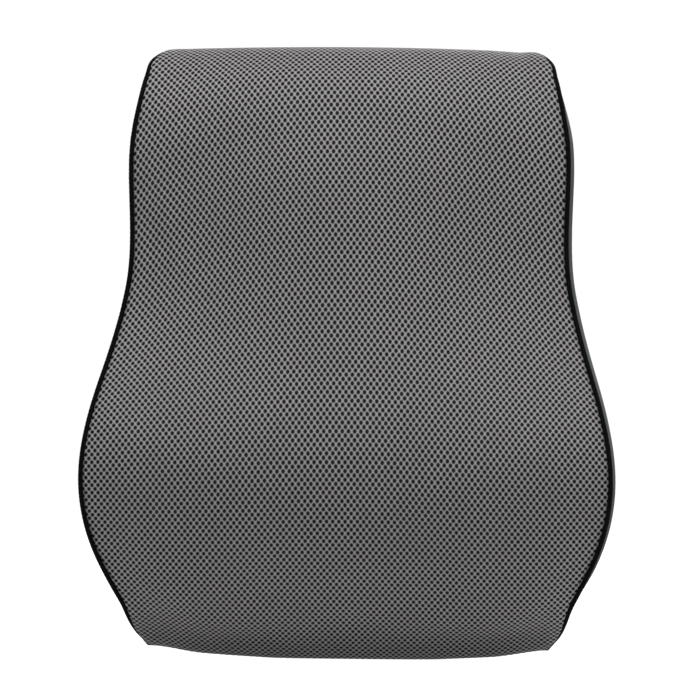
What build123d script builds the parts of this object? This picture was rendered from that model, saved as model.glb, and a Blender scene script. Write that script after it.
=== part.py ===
"""Lumbar support cushion: a contoured foam core in a zipped mesh cover, with a buckled elastic strap behind.

Frame: millimetres, +Z up, the front faces -Y, and Y = 0 is the flat back.
The origin is on the back face, at the middle of the cushion's height and width.
"""

from build123d import *
from math import pi, sin
import os

# Cushion form
TOP_Z = 215
BOTTOM_Z = -215
FULL_SIDE_X = 190  # where the side profile applies in full

# (depth in front of the back plane, height) going from the back's top edge over the front to its bottom edge
CENTRE_PROFILE = [
    (15, 214.5), (37, 212), (59, 198), (74, 176), (84, 146), (89, 108), (91, 65), (95, 22), (103, -20),
    (110, -60), (107, -92), (95, -125), (74, -158), (48, -186), (24, -206), (10, -213),
]
SIDE_PROFILE = [
    (13, 212.3), (30, 209), (47, 196), (58, 174), (64, 145), (64, 108), (62, 65), (70, 22), (90, -20),
    (106, -60), (104, -92), (91, -125), (71, -158), (45, -185), (21, -200.5), (9, -206.3),
]
CENTRE_BACK_EDGE = (212.5, -212.5)
SIDE_BACK_EDGE = (210.3, -205.8)
STATIONS = [-205, -150, -100, -50, 0, 50, 100, 150, 205]

# (half width, height) of the side seam seen from the front, from top to bottom
SIDE_LINE = [
    (121, 219), (129, 212), (136, 205.5), (140.5, 198), (143, 189), (146.6, 170), (150, 150), (151.2, 130),
    (150.5, 105), (150, 74), (151.2, 54), (155.5, 30), (164, -3), (171.5, -28), (178, -55), (181.7, -86),
    (180.5, -108), (173, -138), (160, -166), (149, -187), (142.5, -199), (137, -205.5), (129, -212),
    (121, -219),
]
CUT_DEPTH = 140  # how far the side cuts reach in front of the back plane

# Fabric layers, as distances in from the outside of the cover
COVER_THICK = 3.0
BACK_THICK = 1.1
BACK_SPARE = 1.0  # the outer form is drawn this far past the back plane, then cut flat
FAR = 400  # well past the cushion on every side, for boxes that cut it
SEAM_GAP = 0.1
LINER_OUT = 3.4
LINER_IN = 3.9
FOAM_OUT = 4.3
LINER_BACK_EXTRA = 0.6  # the liner and foam stand further in at the back, clear of the zip slider

# Piping on the front side seams
PIPING_R = 1.8
PIPING_BORE_R = 1.3
CORD_R = 1.2
PIPING_OFF = 1.4  # how far the piping's middle stands off each of the two faces it joins
PIPING_POINTS = 26
PIPING_FROM_BACK = 0.03  # share of the seam left bare at each end, next to the back panel

# Zip across the back
ZIP_Z = -25
ZIP_HALF_LENGTH = 145
ZIP_SLOT = 9.0  # height of the gap between the two back panels
TAPE_Y = (-1.75, -1.25)
TAPE_EDGE = 2.15  # from the zip's centre line to a tape's inner edge
TAPE_UNDER = 8.0  # how far a tape runs under its panel
TOOTH_PITCH = 3.0
TOOTH_WIDTH = 1.2
TOOTH_Y = (-2.0, -1.0)
TOOTH_REACH = 0.6  # how far a tooth passes the centre line
TOOTH_ROOT = 2.05
TEETH_START_X = -139
TEETH_COUNT = 93
STOP_SIZE = (2, 0.5, 5)
STOP_Y = -0.95
STOP_X = (-142.5, 144)
END_TAB_X = (145.6, 163.4)  # the tab that closes the slot past each end of the tapes
END_TAB_HEIGHT = 22

# Zip slider, drawn at the closed end
SLIDER_X = 136
SLIDER_LENGTH = 10
SLIDER_WIDTH = 7.4
SLIDER_PLATE = 0.7
SLIDER_OUTER_Y = -0.45
SLIDER_INNER_Y = -2.55
POST_X = 4.2  # the post's place ahead of the slider's middle
POST_WIDTH = 1.4
LUG_SIZE = (3.6, 2.4)
SLIDER_CORNER_R = 1.6

# Pull tab, lying along the closed teeth
PIN_R = 0.7
PIN_HOLE_R = 0.76
PIN_Y = 1.7
PIN_LENGTH = 5.0
PULL_LENGTH = 24
PULL_WIDTH = 6.0
PULL_THICK = 1.2
FORK_WIDTH = 2.8
FORK_DEPTH = 3.0
FORK_END = 1.1

# Elastic strap behind the lower back panel
STRAP_Z = -87
STRAP_WIDTH = 25
STRAP_THICK = 1.6
STRAP_Y = 1.4
STRAP_SECOND_Y = 3.1
STRAP_END_X = 177
ANCHOR_X = 171
ANCHOR_SIZE = (14, 2.7, 29)
ANCHOR_TUNNEL = (2.35, 25.4)
STRAP_RAMP = 22  # length over which a layer climbs from the back to a loop bar

# Side-release buckle; its mouth is at X = 0 and it opens along X
BUCKLE_Y = 6.4
SOCKET_LENGTH = 30
SOCKET_WIDTH = 34
SOCKET_THICK = 10
CAVITY_THICK = 6.4
CAVITY_WIDTH = 30.8
CAVITY_DEPTH = 28.4
WINDOW_X = (-25, -9.5)
LOOP_FRAME_LENGTH = 9  # the slotted end that takes the strap
LOOP_FRAME_THICK = 3.6
LOOP_SLOT = (5.4, 27)
LOOP_BAR = 2.6
PLUG_X = 1.2
PLUG_LENGTH = 12
TONGUE_SIZE = (20, 4, 4)
PRONG_THICK = 5.2
PRONG_PIVOT = (-0.6, 11.6)  # x, and distance from the buckle's middle line
PRONG_ROOT_R = 1.6
PRONG_CORNER_R = 0.5
# (x, distance from the buckle's middle line) round the prong's hooked head, from its inner side
PRONG_HEAD = [(-18, 10.0), (-27, 10.6), (-27.4, 12.4), (-24, 15.0), (-17, 17.4), (-10, 17.0), (-9.9, 13.2)]
BUCKLE_CORNER_R = 3
LOOP_R = 3.3  # the strap's middle line round a loop bar
SOCKET_BAR_X = -SOCKET_LENGTH - LOOP_FRAME_LENGTH + LOOP_BAR / 2
PLUG_BAR_X = PLUG_X + PLUG_LENGTH + LOOP_FRAME_LENGTH - LOOP_BAR / 2

# Three-bar adjuster
ADJUSTER_X = 92
ADJUSTER_Y = 5.6
ADJUSTER_LENGTH = 22
ADJUSTER_WIDTH = 31
ADJUSTER_THICK = 2.0
ADJUSTER_SLOT = (7.6, 26)
ADJUSTER_SLOT_X = 5.0
ADJUSTER_CORNER_R = 3
END_LOOP_R = 2.5
WAVE_TOP_Y = 10.2
WAVE_IN_X = 11  # where the strap starts to climb, on the anchor side
WAVE_OUT_X = 10  # and where it is down again, on the buckle side
END_RISE_X = 9

# Blank care label
LABEL_SIZE = (26, 0.35, 16)
LABEL_AT = (-110, 0.3, -48)


def save(part, name):
    """Label a finished piece and write it as its own STEP file."""
    part.label = name
    export_step(part, f"parts/{name}.step")


def side_share(x):
    """0 at the middle of the cushion, 1 at its full width, smooth in between."""
    return sin(pi / 2 * min(1, abs(x) / FULL_SIDE_X)) ** 2


def between(a, b, share):
    return a + (b - a) * share


def section_points(x, inset):
    """The front profile at x as (depth, height) points, moved inwards by inset."""
    share = side_share(x)
    points = [
        Vector(between(a[0], b[0], share), between(a[1], b[1], share))
        for a, b in zip(CENTRE_PROFILE, SIDE_PROFILE)
    ]
    moved = []
    for i, point in enumerate(points):
        before = points[max(i - 1, 0)]
        after = points[min(i + 1, len(points) - 1)]
        along = (after - before).normalized()
        moved.append(point + Vector(along.Y, -along.X) * inset)
    return moved


def side_outline(inset):
    """The front outline between the two side seams, running on past the top and bottom."""
    right = [(x - inset, z) for x, z in SIDE_LINE]
    left = [(-x, z) for x, z in reversed(right)]
    with BuildSketch(Plane.XZ) as outline:
        with BuildLine():
            first = Spline(*right)
            second = Spline(*left)
            Line(first @ 1, second @ 0)
            Line(second @ 1, first @ 0)
        make_face()
    return outline.sketch


def envelope(inset, back):
    """The closed cushion form, inset from the cover's outside, with its back at depth back."""
    with BuildPart() as form:
        for x in STATIONS:
            share = side_share(x)
            top = between(CENTRE_BACK_EDGE[0], SIDE_BACK_EDGE[0], share) - inset
            low = between(CENTRE_BACK_EDGE[1], SIDE_BACK_EDGE[1], share) + inset
            # sketch x runs along world -Y, so depth is positive towards the front
            with BuildSketch(Plane(origin=(x, 0, 0), x_dir=(0, -1, 0), z_dir=(-1, 0, 0))):
                with BuildLine():
                    front = Spline((back, top), *section_points(x, inset), (back, low))
                    Line(front @ 1, front @ 0)
                make_face()
        loft()
        extrude(side_outline(inset), amount=CUT_DEPTH, both=True, mode=Mode.INTERSECT)
    return form.part


def slab(x, y, z):
    """A box between two limits on each axis."""
    size = [b - a for a, b in (x, y, z)]
    middle = [(a + b) / 2 for a, b in (x, y, z)]
    return Pos(*middle) * Box(*size, mode=Mode.PRIVATE)


def piping_line(seam, front, side):
    """Points just outside a side seam, standing off the two faces that meet there."""
    span = 1 - 2 * PIPING_FROM_BACK
    points = [seam @ (PIPING_FROM_BACK + span * i / (PIPING_POINTS - 1)) for i in range(PIPING_POINTS)]
    return [p + (front.normal_at(p) + side.normal_at(p)) * PIPING_OFF for p in points]


def seam_tube(points, radius, bore=0):
    """A round cord, or a tube if it has a bore, along a line of points."""
    with BuildPart() as tube:
        with BuildLine() as path:
            Spline(*points)
        with BuildSketch(Plane(origin=path.line @ 0, z_dir=path.line % 0)):
            Circle(radius)
            if bore:
                Circle(bore, mode=Mode.SUBTRACT)
        sweep()
    return tube.part


os.makedirs("parts", exist_ok=True)

# ---- cover ----
outer_form = envelope(0, -BACK_SPARE)
cavity = envelope(COVER_THICK, BACK_THICK + SEAM_GAP)
right_seam = outer_form.edges().sort_by(Edge.length)[-2:].sort_by(Axis.X)[-1]
right_side = outer_form.faces().sort_by(Axis.X)[-1]
front_face = outer_form.faces().sort_by(Face.area)[-1]
front_zone = slab((-FAR, FAR), (-FAR, -BACK_THICK - SEAM_GAP), (-FAR, FAR))

with BuildPart() as front_panel:
    add(outer_form)
    add(front_zone, mode=Mode.INTERSECT)
    add(cavity, mode=Mode.SUBTRACT)
    extrude(side_outline(COVER_THICK + SEAM_GAP), amount=CUT_DEPTH, both=True, mode=Mode.INTERSECT)
save(front_panel.part, "front_panel")

with BuildPart() as right_gusset:
    add(outer_form)
    add(slab((0, FAR), (-FAR, -BACK_THICK - SEAM_GAP), (-FAR, FAR)), mode=Mode.INTERSECT)
    extrude(side_outline(COVER_THICK), amount=CUT_DEPTH, both=True, mode=Mode.SUBTRACT)

piping_points = piping_line(right_seam, front_face, right_side)
with BuildPart() as right_sleeve:
    add(seam_tube(piping_points, PIPING_R, PIPING_BORE_R))

with BuildPart() as right_cord:
    add(seam_tube(piping_points, CORD_R))

# the left side is the right one's mirror image
side_pieces = {"gusset": right_gusset, "piping_sleeve": right_sleeve, "piping_cord": right_cord}
for name, right in side_pieces.items():
    save(right.part, f"right_{name}")
    with BuildPart() as left:
        mirror(right.part, about=Plane.YZ)
    save(left.part, f"left_{name}")

back_panels = {
    "back_panel_upper": slab((-FAR, FAR), (-BACK_THICK, 0), (ZIP_Z + ZIP_SLOT / 2, FAR)),
    "back_panel_lower": slab((-FAR, FAR), (-BACK_THICK, 0), (-FAR, ZIP_Z - ZIP_SLOT / 2)),
}
for name, zone in back_panels.items():
    with BuildPart() as back_panel:
        add(outer_form)
        add(zone, mode=Mode.INTERSECT)
    save(back_panel.part, name)

# ---- filling ----
with BuildPart() as inner_liner:
    add(envelope(LINER_OUT, LINER_OUT + LINER_BACK_EXTRA))
    add(envelope(LINER_IN, LINER_IN + LINER_BACK_EXTRA), mode=Mode.SUBTRACT)
save(inner_liner.part, "inner_liner")

with BuildPart() as foam_core:
    add(envelope(FOAM_OUT, FOAM_OUT + LINER_BACK_EXTRA))
save(foam_core.part, "foam_core")

# ---- zip ----
for name, sign in (("upper", 1), ("lower", -1)):
    edges = sorted((ZIP_Z + sign * TAPE_EDGE, ZIP_Z + sign * (ZIP_SLOT / 2 + TAPE_UNDER)))
    with BuildPart() as zip_tape:
        add(slab((-ZIP_HALF_LENGTH, ZIP_HALF_LENGTH), TAPE_Y, edges))
    save(zip_tape.part, f"zip_tape_{name}")

    reach = sorted((ZIP_Z - sign * TOOTH_REACH, ZIP_Z + sign * TOOTH_ROOT))
    shift = 0 if sign > 0 else TOOTH_PITCH / 2
    with BuildPart() as zip_teeth:
        for i in range(TEETH_COUNT):
            x = TEETH_START_X + shift + i * TOOTH_PITCH
            add(slab((x - TOOTH_WIDTH / 2, x + TOOTH_WIDTH / 2), TOOTH_Y, reach))
    save(zip_teeth.part, f"zip_teeth_{name}")

with BuildPart() as zip_stops:
    with Locations(*[(x, STOP_Y, ZIP_Z) for x in STOP_X]):
        Box(*STOP_SIZE)
save(zip_stops.part, "zip_stops")

for side, sign in (("left", -1), ("right", 1)):
    with BuildPart() as end_tab:
        ends = sorted(sign * x for x in END_TAB_X)
        add(slab(ends, TAPE_Y, (ZIP_Z - END_TAB_HEIGHT / 2, ZIP_Z + END_TAB_HEIGHT / 2)))
    save(end_tab.part, f"zip_end_tab_{side}")

with BuildPart() as zip_slider:
    with Locations((SLIDER_X, SLIDER_OUTER_Y, ZIP_Z), (SLIDER_X, SLIDER_INNER_Y, ZIP_Z)):
        Box(SLIDER_LENGTH, SLIDER_PLATE, SLIDER_WIDTH)
    fillet(zip_slider.edges().filter_by(Axis.Y), radius=SLIDER_CORNER_R)
    with Locations((SLIDER_X + POST_X, (SLIDER_OUTER_Y + SLIDER_INNER_Y) / 2, ZIP_Z)):
        Box(POST_WIDTH, SLIDER_OUTER_Y - SLIDER_INNER_Y, POST_WIDTH)
    with BuildSketch(Plane.XY.offset(ZIP_Z - LUG_SIZE[1] / 2)):
        with Locations((SLIDER_X, PIN_Y)):
            Circle(LUG_SIZE[0] / 2)
        with Locations((SLIDER_X, (PIN_Y + SLIDER_OUTER_Y) / 2)):
            Rectangle(LUG_SIZE[0], PIN_Y - SLIDER_OUTER_Y)
        with Locations((SLIDER_X, PIN_Y)):
            Circle(PIN_HOLE_R, mode=Mode.SUBTRACT)
    extrude(amount=LUG_SIZE[1])
save(zip_slider.part, "zip_slider")

with BuildPart() as zip_pull:
    pull_from = SLIDER_X - PULL_LENGTH
    add(
        slab(
            (pull_from, SLIDER_X + FORK_END),
            (PIN_Y - PULL_THICK / 2, PIN_Y + PULL_THICK / 2),
            (ZIP_Z - PULL_WIDTH / 2, ZIP_Z + PULL_WIDTH / 2),
        )
    )
    fillet(zip_pull.edges().filter_by(Axis.Y).group_by(Axis.X)[0], radius=PULL_WIDTH / 2 - 0.1)
    add(
        slab(
            (SLIDER_X - FORK_DEPTH, SLIDER_X + FAR),
            (-FAR, FAR),
            (ZIP_Z - FORK_WIDTH / 2, ZIP_Z + FORK_WIDTH / 2),
        ),
        mode=Mode.SUBTRACT,
    )
    with BuildSketch(Plane.XY.offset(ZIP_Z - PIN_LENGTH / 2)):
        with Locations((SLIDER_X, PIN_Y)):
            Circle(PIN_R)
    extrude(amount=PIN_LENGTH)
save(zip_pull.part, "zip_pull")

# ---- strap ----
with BuildPart() as strap_left:
    with BuildSketch(Plane.XY.offset(STRAP_Z - STRAP_WIDTH / 2)):
        with BuildLine():
            bottom = (SOCKET_BAR_X, BUCKLE_Y - LOOP_R)
            top = (SOCKET_BAR_X, BUCKLE_Y + LOOP_R)
            climb = (SOCKET_BAR_X - STRAP_RAMP, STRAP_Y)
            down = (SOCKET_BAR_X - STRAP_RAMP, STRAP_SECOND_Y)
            Line((-STRAP_END_X, STRAP_Y), climb)
            Spline(climb, bottom, tangents=[(1, 0), (1, 0)])
            ThreePointArc(bottom, (SOCKET_BAR_X + LOOP_R, BUCKLE_Y), top)
            Spline(top, down, tangents=[(-1, 0), (-1, 0)])
            Line(down, (SOCKET_BAR_X - 2 * STRAP_RAMP, STRAP_SECOND_Y))
        trace(line_width=STRAP_THICK)
    extrude(amount=STRAP_WIDTH)
save(strap_left.part, "strap_left")

with BuildPart() as strap_right:
    with BuildSketch(Plane.XY.offset(STRAP_Z - STRAP_WIDTH / 2)):
        with BuildLine():
            bottom = (PLUG_BAR_X, BUCKLE_Y - LOOP_R)
            top = (PLUG_BAR_X, BUCKLE_Y + LOOP_R)
            climb = (ADJUSTER_X + WAVE_IN_X, STRAP_Y)
            crest = (ADJUSTER_X, WAVE_TOP_Y)
            down = (ADJUSTER_X - WAVE_OUT_X, STRAP_SECOND_Y)
            Line((STRAP_END_X, STRAP_Y), climb)
            Spline(climb, crest, tangents=[(-1, 0), (-1, 0)])
            Spline(crest, down, tangents=[(-1, 0), (-1, 0)])
            Line(down, (PLUG_BAR_X + STRAP_RAMP, STRAP_SECOND_Y))
            Spline((PLUG_BAR_X + STRAP_RAMP, STRAP_SECOND_Y), top, tangents=[(-1, 0), (-1, 0)])
            ThreePointArc(top, (PLUG_BAR_X - LOOP_R, BUCKLE_Y), bottom)
            Spline(bottom, (PLUG_BAR_X + STRAP_RAMP, STRAP_Y), tangents=[(1, 0), (1, 0)])
            end_rise = (ADJUSTER_X - END_RISE_X, STRAP_Y)
            end_low = (ADJUSTER_X, ADJUSTER_Y - END_LOOP_R)
            end_high = (ADJUSTER_X, ADJUSTER_Y + END_LOOP_R)
            Line((PLUG_BAR_X + STRAP_RAMP, STRAP_Y), end_rise)
            Spline(end_rise, end_low, tangents=[(1, 0), (1, 0)])
            ThreePointArc(end_low, (ADJUSTER_X + END_LOOP_R, ADJUSTER_Y), end_high)
        trace(line_width=STRAP_THICK)
    extrude(amount=STRAP_WIDTH)
save(strap_right.part, "strap_right")

for side, sign in (("left", -1), ("right", 1)):
    with BuildPart() as strap_anchor:
        with Locations((sign * ANCHOR_X, ANCHOR_SIZE[1] / 2 + SEAM_GAP, STRAP_Z)):
            Box(*ANCHOR_SIZE)
        with Locations((sign * ANCHOR_X, ANCHOR_TUNNEL[0] / 2, STRAP_Z)):
            Box(ANCHOR_SIZE[0], ANCHOR_TUNNEL[0], ANCHOR_TUNNEL[1], mode=Mode.SUBTRACT)
    save(strap_anchor.part, f"strap_anchor_{side}")

# ---- buckle ----
with BuildPart() as buckle_socket:
    with Locations((-SOCKET_LENGTH / 2, BUCKLE_Y, STRAP_Z)):
        Box(SOCKET_LENGTH, SOCKET_THICK, SOCKET_WIDTH)
    fillet(buckle_socket.edges().filter_by(Axis.X), radius=BUCKLE_CORNER_R)
    with Locations((-CAVITY_DEPTH / 2, BUCKLE_Y, STRAP_Z)):
        Box(CAVITY_DEPTH, CAVITY_THICK, CAVITY_WIDTH, mode=Mode.SUBTRACT)
    window_middle = sum(WINDOW_X) / 2
    with Locations((window_middle, BUCKLE_Y, STRAP_Z)):
        Box(WINDOW_X[1] - WINDOW_X[0], CAVITY_THICK, SOCKET_WIDTH + 2, mode=Mode.SUBTRACT)
    with Locations((-SOCKET_LENGTH - LOOP_FRAME_LENGTH / 2, BUCKLE_Y, STRAP_Z)):
        Box(LOOP_FRAME_LENGTH, LOOP_FRAME_THICK, SOCKET_WIDTH)
    slot_x = -SOCKET_LENGTH - LOOP_FRAME_LENGTH + LOOP_BAR + LOOP_SLOT[0] / 2
    with Locations((slot_x, BUCKLE_Y, STRAP_Z)):
        Box(LOOP_SLOT[0], SOCKET_THICK, LOOP_SLOT[1], mode=Mode.SUBTRACT)
save(buckle_socket.part, "buckle_socket")

with BuildPart() as buckle_plug:
    with Locations((PLUG_X + PLUG_LENGTH / 2, BUCKLE_Y, STRAP_Z)):
        Box(PLUG_LENGTH, SOCKET_THICK, SOCKET_WIDTH)
    fillet(buckle_plug.edges().filter_by(Axis.X), radius=BUCKLE_CORNER_R)
    with Locations((PLUG_X + PLUG_LENGTH + LOOP_FRAME_LENGTH / 2, BUCKLE_Y, STRAP_Z)):
        Box(LOOP_FRAME_LENGTH, LOOP_FRAME_THICK, SOCKET_WIDTH)
    slot_x = PLUG_X + PLUG_LENGTH + LOOP_FRAME_LENGTH - LOOP_BAR - LOOP_SLOT[0] / 2
    with Locations((slot_x, BUCKLE_Y, STRAP_Z)):
        Box(LOOP_SLOT[0], SOCKET_THICK, LOOP_SLOT[1], mode=Mode.SUBTRACT)
    with Locations((PLUG_X - TONGUE_SIZE[0] / 2, BUCKLE_Y, STRAP_Z)):
        Box(*TONGUE_SIZE)
save(buckle_plug.part, "buckle_plug")

for name, sign in (("upper", 1), ("lower", -1)):
    pivot_x, pivot_z = PRONG_PIVOT
    with BuildPart() as prong:
        # plan view of the prong; sketch y is the distance from the buckle's middle line
        plan = Plane(origin=(0, BUCKLE_Y + PRONG_THICK / 2, STRAP_Z), x_dir=(1, 0, 0), z_dir=(0, 1, 0))
        with BuildSketch(plan):
            with BuildLine():
                root = [(pivot_x, pivot_z + s * PRONG_ROOT_R) for s in (1, -1)]
                Polyline(*[(x, -sign * out) for x, out in root + PRONG_HEAD], close=True)
            make_face()
            with Locations((pivot_x, -sign * pivot_z)):
                Circle(PRONG_ROOT_R)
        extrude(amount=-PRONG_THICK)
        fillet(prong.edges().filter_by(Axis.Y).group_by(Axis.X)[1], radius=PRONG_CORNER_R)
    save(prong.part, f"buckle_prong_{name}")

# ---- adjuster ----
with BuildPart() as strap_adjuster:
    with Locations((ADJUSTER_X, ADJUSTER_Y, STRAP_Z)):
        Box(ADJUSTER_LENGTH, ADJUSTER_THICK, ADJUSTER_WIDTH)
    fillet(strap_adjuster.edges().filter_by(Axis.Y), radius=ADJUSTER_CORNER_R)
    slot_places = [(ADJUSTER_X + s * ADJUSTER_SLOT_X, ADJUSTER_Y, STRAP_Z) for s in (-1, 1)]
    with Locations(*slot_places):
        Box(ADJUSTER_SLOT[0], ADJUSTER_THICK, ADJUSTER_SLOT[1], mode=Mode.SUBTRACT)
save(strap_adjuster.part, "strap_adjuster")

with BuildPart() as care_label:
    with Locations(LABEL_AT):
        Box(*LABEL_SIZE)
save(care_label.part, "care_label")
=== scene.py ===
"""Looks for the lumbar support cushion: padded cover, air-mesh weave, piping, strap, zip and studio.

Everything is in metres in the part's own frame: the front faces -Y and the flat back is Y = 0.
"""

import math

import bpy
import numpy as np
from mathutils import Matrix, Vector
from mathutils.bvhtree import BVHTree


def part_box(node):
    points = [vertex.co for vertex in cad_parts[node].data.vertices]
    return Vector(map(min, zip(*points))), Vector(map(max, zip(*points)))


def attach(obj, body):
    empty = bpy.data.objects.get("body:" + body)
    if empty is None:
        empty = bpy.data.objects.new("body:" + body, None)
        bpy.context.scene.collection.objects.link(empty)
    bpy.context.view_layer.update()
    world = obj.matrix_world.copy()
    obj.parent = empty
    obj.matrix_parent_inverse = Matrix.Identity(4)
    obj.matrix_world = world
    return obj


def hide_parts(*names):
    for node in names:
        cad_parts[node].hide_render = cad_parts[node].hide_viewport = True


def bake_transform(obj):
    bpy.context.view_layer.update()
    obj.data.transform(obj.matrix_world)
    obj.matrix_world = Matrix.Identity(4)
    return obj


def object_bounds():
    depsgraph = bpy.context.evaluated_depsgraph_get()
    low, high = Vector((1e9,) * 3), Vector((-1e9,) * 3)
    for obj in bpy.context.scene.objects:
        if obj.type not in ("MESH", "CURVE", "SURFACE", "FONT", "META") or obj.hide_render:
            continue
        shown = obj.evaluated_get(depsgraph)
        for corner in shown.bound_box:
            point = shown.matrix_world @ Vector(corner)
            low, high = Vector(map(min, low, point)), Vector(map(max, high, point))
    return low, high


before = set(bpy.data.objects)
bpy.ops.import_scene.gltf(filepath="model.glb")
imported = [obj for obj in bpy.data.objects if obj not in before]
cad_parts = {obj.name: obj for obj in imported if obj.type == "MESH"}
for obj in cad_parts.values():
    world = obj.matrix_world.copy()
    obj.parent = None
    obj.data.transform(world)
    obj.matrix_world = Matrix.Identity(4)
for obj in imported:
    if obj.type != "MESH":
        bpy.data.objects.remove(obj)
cad_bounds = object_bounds()
MM = 0.001

# ---------------------------------------------------------------- sizes

# Sampling of the CAD cover
SIDE_HEIGHTS, SIDE_DEPTHS = 110, 40  # places at which the side seam is read
SIDE_CARRY = 0.02  # how far the side seam is carried on past the CAD's ends
COLUMNS, ROWS = 41, 181
EDGE_SHARE = 0.98  # how far out towards the side seam the front is sampled
AXIS_SHARE = 0.42  # depth of the axis that the front is read around, as a share of the cushion's
FAR_SIDE, FAR_FRONT = 0.4, 0.5  # distances from which rays start, outside the cushion
FINE_STEP = 1.0 * MM  # spacing of the finished front panel's grid

# Air mesh of the front panel: staggered holes
MESH_PITCH = (4.26 * MM, 6.1 * MM)
MESH_DIMPLE = 0.5 * MM
DIMPLE_REACH = 0.34  # radius of a dimple, in pitches
SIDE_PITCH, SIDE_DIMPLE, SIDE_DIMPLE_REACH = (2.4 * MM, 3.2 * MM), 0.12 * MM, 0.3
BACK_PITCH = (2.0 * MM, 2.6 * MM)
ROW_ARCH = 0.7  # rows of holes hang lower at the sides by this many times x squared, per metre
ARCH_FULL_Z, ARCH_NONE_Z = 0.06, -0.15

# Seams and piping
SIDE_ROLL = (11 * MM, 2.8 * MM)  # width and depth of the rounding into a side seam
END_SHALLOW = 0.4  # how much shallower that rounding is at the seam's ends
END_SPAN = 105 * MM  # length of seam, at each end, over which the piping sinks behind the panel's edge
END_SINK = 2.9 * MM  # how deep it sinks there
GUSSET_TUCK = 2.2 * MM  # how far behind the front seam the side panel starts, inside the piping
END_ROLL = (8 * MM, 2.2 * MM)  # width and depth of the rounding along the back's edges
SLOT_ROLL = (2.0 * MM, 0.9 * MM)  # the same along the zip's slot
HEM = 3 * MM
GUSSET_BULGE = {-1: 4.0 * MM, 1: 4.8 * MM}  # how far each side panel swells, by the sign of its X
BULGE_SPAN, BULGE_BARE = 0.15, 0.2  # share of the rows over which it grows, and of those the flat part
PIPE_R = 1.6 * MM
PIPE_OUT, PIPE_IN = 1.0 * MM, 1.0 * MM  # the piping's middle stands out sideways, and behind the front
PIPE_END_OUT = 0.2 * MM  # how far it stands out at the seam's ends
PIPE_TRIM = 10  # steps of the seam left bare at each end


# ---------------------------------------------------------------- small tools


def bvh(*names):
    """Ray-casting tree over the faces of some CAD nodes."""
    verts, polys = [], []
    for name in names:
        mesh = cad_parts[name].data
        base = len(verts)
        verts += [v.co.copy() for v in mesh.vertices]
        polys += [[base + i for i in p.vertices] for p in mesh.polygons]
    return BVHTree.FromPolygons(verts, polys)


def unit(v):
    return v / np.maximum(np.linalg.norm(v, axis=-1, keepdims=True), 1e-12)


def smooth_step(t):
    t = np.clip(t, 0, 1)
    return t * t * (3 - 2 * t)


def respace(grid, count, axis):
    """A grid resampled to count places along one axis by a smooth cubic."""
    grid = np.moveaxis(grid, axis, 0)
    last = len(grid) - 1
    t = np.linspace(0, last, count)
    i = np.minimum(t.astype(int), last - 1)
    f = (t - i).reshape((-1,) + (1,) * (grid.ndim - 1))
    a, b = grid[np.maximum(i - 1, 0)], grid[i]
    c, d = grid[i + 1], grid[np.minimum(i + 2, last)]
    a = np.where((i == 0).reshape(f.shape), 2 * b - c, a)
    d = np.where((i + 2 > last).reshape(f.shape), 2 * c - b, d)
    out = b + 0.5 * f * (c - a + f * (2 * a - 5 * b + 4 * c - d + f * (3 * (b - c) + d - a)))
    return np.moveaxis(out, 0, axis)


def travelled(line):
    """Distance from a line's first point to each of its points, along the line."""
    return np.concatenate([[0], np.cumsum(np.linalg.norm(np.diff(line, axis=0), axis=1))])


def even_out(grid):
    """Rows moved along each column so that they are evenly spaced by length."""
    out = grid.copy()
    for i in range(grid.shape[1]):
        line = grid[:, i]
        length = travelled(line)
        want = np.linspace(0, length[-1], len(line))
        for k in range(3):
            out[:, i, k] = np.interp(want, length, line[:, k])
    return out


def soften(grid, times, axis):
    """Averages neighbours along an axis, leaving the two ends where they are."""
    grid = np.moveaxis(grid.copy(), axis, 0)
    for _ in range(times):
        grid[1:-1] = grid[1:-1] / 2 + (grid[:-2] + grid[2:]) / 4
    return np.moveaxis(grid, 0, axis)


def turning(grid):
    """Unit normals of a grid by the order of its rows and columns."""
    return unit(np.cross(np.gradient(grid, axis=0), np.gradient(grid, axis=1)))


def grid_normals(grid, outward):
    """Unit normals of a grid, turned so that they lean along outward on the whole."""
    normal = turning(grid)
    if (normal @ np.array(outward)).sum() < 0:
        normal = -normal
    return normal


def lengths(grid, axis):
    """Distance travelled along an axis of the grid, from its start."""
    step = np.linalg.norm(np.diff(grid, axis=axis), axis=2)
    pad = [(0, 0), (0, 0)]
    pad[axis] = (1, 0)
    return np.cumsum(np.pad(step, pad), axis=axis)


def rounding(distance, roll):
    """How far a surface drops at some distance from its edge, as a quarter ellipse."""
    width, depth = roll
    t = np.clip(1 - distance / width, 0, 1)
    return depth * (1 - np.sqrt(1 - t * t))


def new_object(name, verts, faces):
    """A smooth-shaded mesh object, from an array or a list of faces."""
    mesh = bpy.data.meshes.new(name)
    faces = faces.tolist() if isinstance(faces, np.ndarray) else faces
    mesh.from_pydata(np.asarray(verts).reshape(-1, 3).tolist(), [], faces)
    mesh.update()
    mesh.polygons.foreach_set("use_smooth", [True] * len(mesh.polygons))
    obj = bpy.data.objects.new(name, mesh)
    bpy.context.scene.collection.objects.link(obj)
    return obj


def set_uv(obj, coords, name="weave"):
    """Stores fabric coordinates, in metres along the cloth."""
    mesh = obj.data
    layer = mesh.uv_layers.new(name=name)
    index = np.zeros(len(mesh.loops), np.int32)
    mesh.loops.foreach_get("vertex_index", index)
    layer.data.foreach_set("uv", coords.reshape(-1, 2)[index].astype(np.float32).ravel())


def grid_faces(rows, columns, wrap=False, flip=False):
    index = np.arange(rows * columns).reshape(rows, columns)
    if wrap:
        index = np.concatenate([index, index[:, :1]], axis=1)
    a, b, c, d = index[:-1, :-1], index[:-1, 1:], index[1:, 1:], index[1:, :-1]
    quads = np.stack([a, b, c, d], axis=-1).reshape(-1, 4)
    return quads[:, ::-1] if flip else quads


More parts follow.
